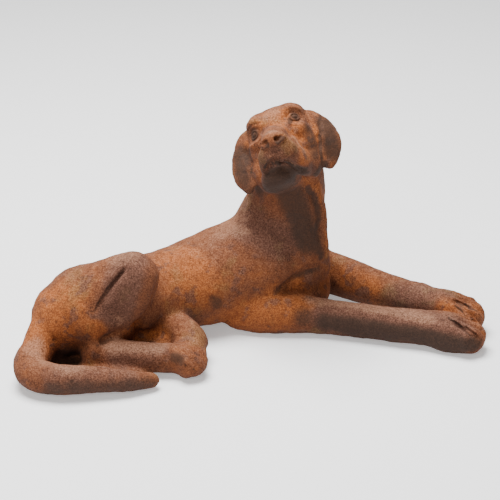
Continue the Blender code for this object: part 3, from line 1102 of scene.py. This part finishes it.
def rusted_iron_with_painted_light():
    """Matt rust in patches of bright orange, brown and plum, with dark grains, painted shade in
    recesses and on sides and undersides, and painted highlight on tops.
    """
    look = bpy.context.scene.rust_look
    material = bpy.data.materials.new("rusted_iron_with_painted_light")
    material.use_nodes = True
    tree = material.node_tree
    surface = tree.nodes["Principled BSDF"]
    place = Shade(tree).node("ShaderNodeTexCoord", {}, output=3)
    amounts = {
        name: place.node("ShaderNodeAttribute", {}, output=2, attribute_name=name)
        for name in ("bright", "plum", "dark", "worn_and_highlit", "hollow", "upward")
    }
    upward = amounts["upward"]
    clouds = noise(place, 7, detail=4, roughness=0.55, distortion=0.4)
    patches = noise(place, 26, detail=5, roughness=0.65, distortion=0.3)
    mottle = noise(place, 90, detail=4, roughness=0.7)
    grains = noise(place, 360, detail=3, roughness=0.75)
    pebbles = place.node("ShaderNodeTexVoronoi", {"Vector": place, "Scale": 420.0})

    # The bright places, mostly rust, partly painted light on lit strips and a lightened hollow
    bright_rust_and_painted_light = amounts["bright"] * 0.5 - amounts["plum"] * 0.4
    orange = (bright_rust_and_painted_light + clouds * 0.6 + patches * 0.9).rise(0.65, 1.1)
    hard = amounts["plum"] * 0.6 - amounts["bright"] * 0.2
    plum = (hard + patches * 0.5 + clouds * 0.2).rise(0.45, 0.9)
    colour = plum.blend(tuple(look.brown), tuple(look.plum))
    colour = (orange * (mottle * 0.8 + 0.5)).blend(colour, tuple(look.bright))
    olive = (noise(place, 13, detail=4, roughness=0.6) - amounts["dark"] * 0.2).rise(0.52, 0.66)
    colour = (olive * 0.4).blend(colour, tuple(look.olive))
    spots = noise(place, 34, detail=3, roughness=0.55).rise(0.56, 0.64)
    colour = (spots * 0.7).blend(colour, tuple(look.plum))
    # Painted top light and highlight: upward faces and the highlit places of wear take the pale colour,
    # with random patches
    lit_tops_and_wear = upward * 0.35 + amounts["worn_and_highlit"] * 0.4
    bloom_and_highlight = (lit_tops_and_wear + mottle * 0.5 + patches * 0.4).rise(0.65, 1.1)
    colour = (bloom_and_highlight * 0.6).blend(colour, tuple(look.bloom_and_highlight))
    grainy = grains * 0.8 + mottle * 0.2
    shade = grainy.rise(0.62, 0.4)
    colour = shade.blend(colour, tuple(look.grain_shade), kind="MULTIPLY")
    shine = grainy.rise(0.52, 0.66)
    colour = (shine * 0.18).blend(colour, tuple(look.bloom_and_highlight))
    flecks = (grains * 0.5 + patches * 0.2 + mottle * 0.3).rise(0.45, 0.35)
    colour = (flecks * 0.65).blend(colour, tuple(look.dark))
    # Painted shade: the dark colour on the dark places and on random stains, and in grooves the deeper
    # they are
    painted_shade_and_stains = (amounts["dark"] * 0.85 + patches * 0.4).rise(0.45, 1.05)
    recess = amounts["hollow"].rise(0.3, 2.5)
    shadow = place.maths("MAXIMUM", painted_shade_and_stains * 0.78, recess * 0.3)
    colour = shadow.blend(colour, tuple(look.dark))
    # Painted shade: faces turned sideways or down are multiplied darker
    side_and_underside_shade = upward.rise(0.75, -0.5)
    colour = side_and_underside_shade.blend(colour, tuple(look.side_and_underside_shade), kind="MULTIPLY")

    scale = grains * 0.7 + pebbles * 0.3 + mottle * 0.5
    pits = noise(place, 60, detail=2, roughness=0.5).rise(0.66, 0.74)
    bump = place.node(
        "ShaderNodeBump",
        {"Height": scale - pits * 0.8, "Strength": 0.9, "Distance": look.pebble_height},
    )
    rough = 0.95 - bloom_and_highlight * 0.15 - shadow * 0.1
    for name, value in (("Base Color", colour), ("Roughness", rough), ("Normal", bump)):
        tree.links.new(value.socket, surface.inputs[name])
    surface.inputs["Specular IOR Level"].default_value = 0.3
    return material


class HOUND_OT_skin(bpy.types.Operator):
    """Models the hound's carved skin and gives it its rust, painted shade and painted highlight"""

    bl_idname = "hound.skin"
    bl_label = "Model the hound"

    def execute(self, context):
        clay = Clay()
        for form in FORMS:
            form(clay)
        figure = press_together(clay, "hound_skin")
        carve(figure)
        figure = fine_skin(figure)
        hollows(figure)
        figure = fewer_triangles(figure)
        spread_rust_and_painted_light(figure)
        fit_to_solid(figure)
        figure.data.materials.append(rusted_iron_with_painted_light())
        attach(figure, "root")
        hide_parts(SOLID)
        return {"FINISHED"}


class HOUND_OT_studio(bpy.types.Operator):
    """Lays a pale floor and sets soft lamps and the camera"""

    bl_idname = "hound.studio"
    bl_label = "Set up the studio"

    def execute(self, context):
        look = context.scene.studio_look
        floor = bmesh.new()
        bmesh.ops.create_grid(floor, x_segments=1, y_segments=1, size=12)
        mesh = bpy.data.meshes.new("floor")
        floor.to_mesh(mesh)
        floor.free()
        ground = bpy.data.objects.new("floor", mesh)
        context.scene.collection.objects.link(ground)
        matt = bpy.data.materials.new("floor")
        matt.use_nodes = True
        surface = matt.node_tree.nodes["Principled BSDF"]
        surface.inputs["Base Color"].default_value = look.floor_colour
        surface.inputs["Roughness"].default_value = 0.9
        surface.inputs["Emission Color"].default_value = look.floor_colour
        surface.inputs["Emission Strength"].default_value = look.floor_glow
        mesh.materials.append(matt)
        world = bpy.data.worlds.new("studio")
        world.use_nodes = True
        background = world.node_tree.nodes["Background"]
        background.inputs["Color"].default_value = (1, 1, 1, 1)
        background.inputs["Strength"].default_value = look.room_light
        context.scene.world = world
        lamps = (
            ("key", KEY_PLACE, look.key_power, look.key_size),
            ("fill", FILL_PLACE, look.fill_power, look.fill_size),
        )
        for name, place, power, size in lamps:
            light = bpy.data.lights.new(name, "AREA")
            light.energy = power
            light.size = size
            lamp = bpy.data.objects.new(name, light)
            aim(lamp, place, LIT_PLACE)
            context.scene.collection.objects.link(lamp)
        set_camera(look)
        return {"FINISHED"}


def aim(thing, place, target):
    """Puts a lamp or camera at the place, turned to the target."""
    thing.location = place
    thing.rotation_mode = "QUATERNION"
    thing.rotation_quaternion = (target - place).to_track_quat("-Z", "Y")


def set_camera(look):
    """A long lens a little above the figure, square to its length."""
    lens = bpy.data.cameras.new("camera")
    lens.sensor_width = 36
    lens.lens = look.lens
    camera = bpy.data.objects.new("camera", lens)
    back = Vector((0, -math.cos(look.camera_rise), math.sin(look.camera_rise)))
    aim(camera, PICTURE_MIDDLE + back * look.camera_distance, PICTURE_MIDDLE)
    bpy.context.scene.collection.objects.link(camera)
    bpy.context.scene.camera = camera


class HOUND_PT_panel(bpy.types.Panel):
    """The hound's sizes, colours and steps"""

    bl_idname = "HOUND_PT_panel"
    bl_label = "Hound"
    bl_space_type = "VIEW_3D"
    bl_region_type = "UI"
    bl_category = "Hound"

    def draw(self, context):
        for group in (context.scene.hound_shape, context.scene.rust_look, context.scene.studio_look):
            for name in group.__annotations__:
                self.layout.prop(group, name)
        self.layout.operator("hound.skin")
        self.layout.operator("hound.studio")


CLASSES = (HoundShape, RustAndPaintedLightLook, StudioLook, HOUND_OT_skin, HOUND_OT_studio, HOUND_PT_panel)


def register():
    for kind in CLASSES:
        bpy.utils.register_class(kind)
    bpy.types.Scene.hound_shape = PointerProperty(type=HoundShape)
    bpy.types.Scene.rust_look = PointerProperty(type=RustAndPaintedLightLook)
    bpy.types.Scene.studio_look = PointerProperty(type=StudioLook)


def unregister():
    del bpy.types.Scene.studio_look
    del bpy.types.Scene.rust_look
    del bpy.types.Scene.hound_shape
    for kind in reversed(CLASSES):
        bpy.utils.unregister_class(kind)


def main():
    register()
    bpy.ops.hound.skin()
    bpy.ops.hound.studio()


if __name__ == "__main__":
    main()
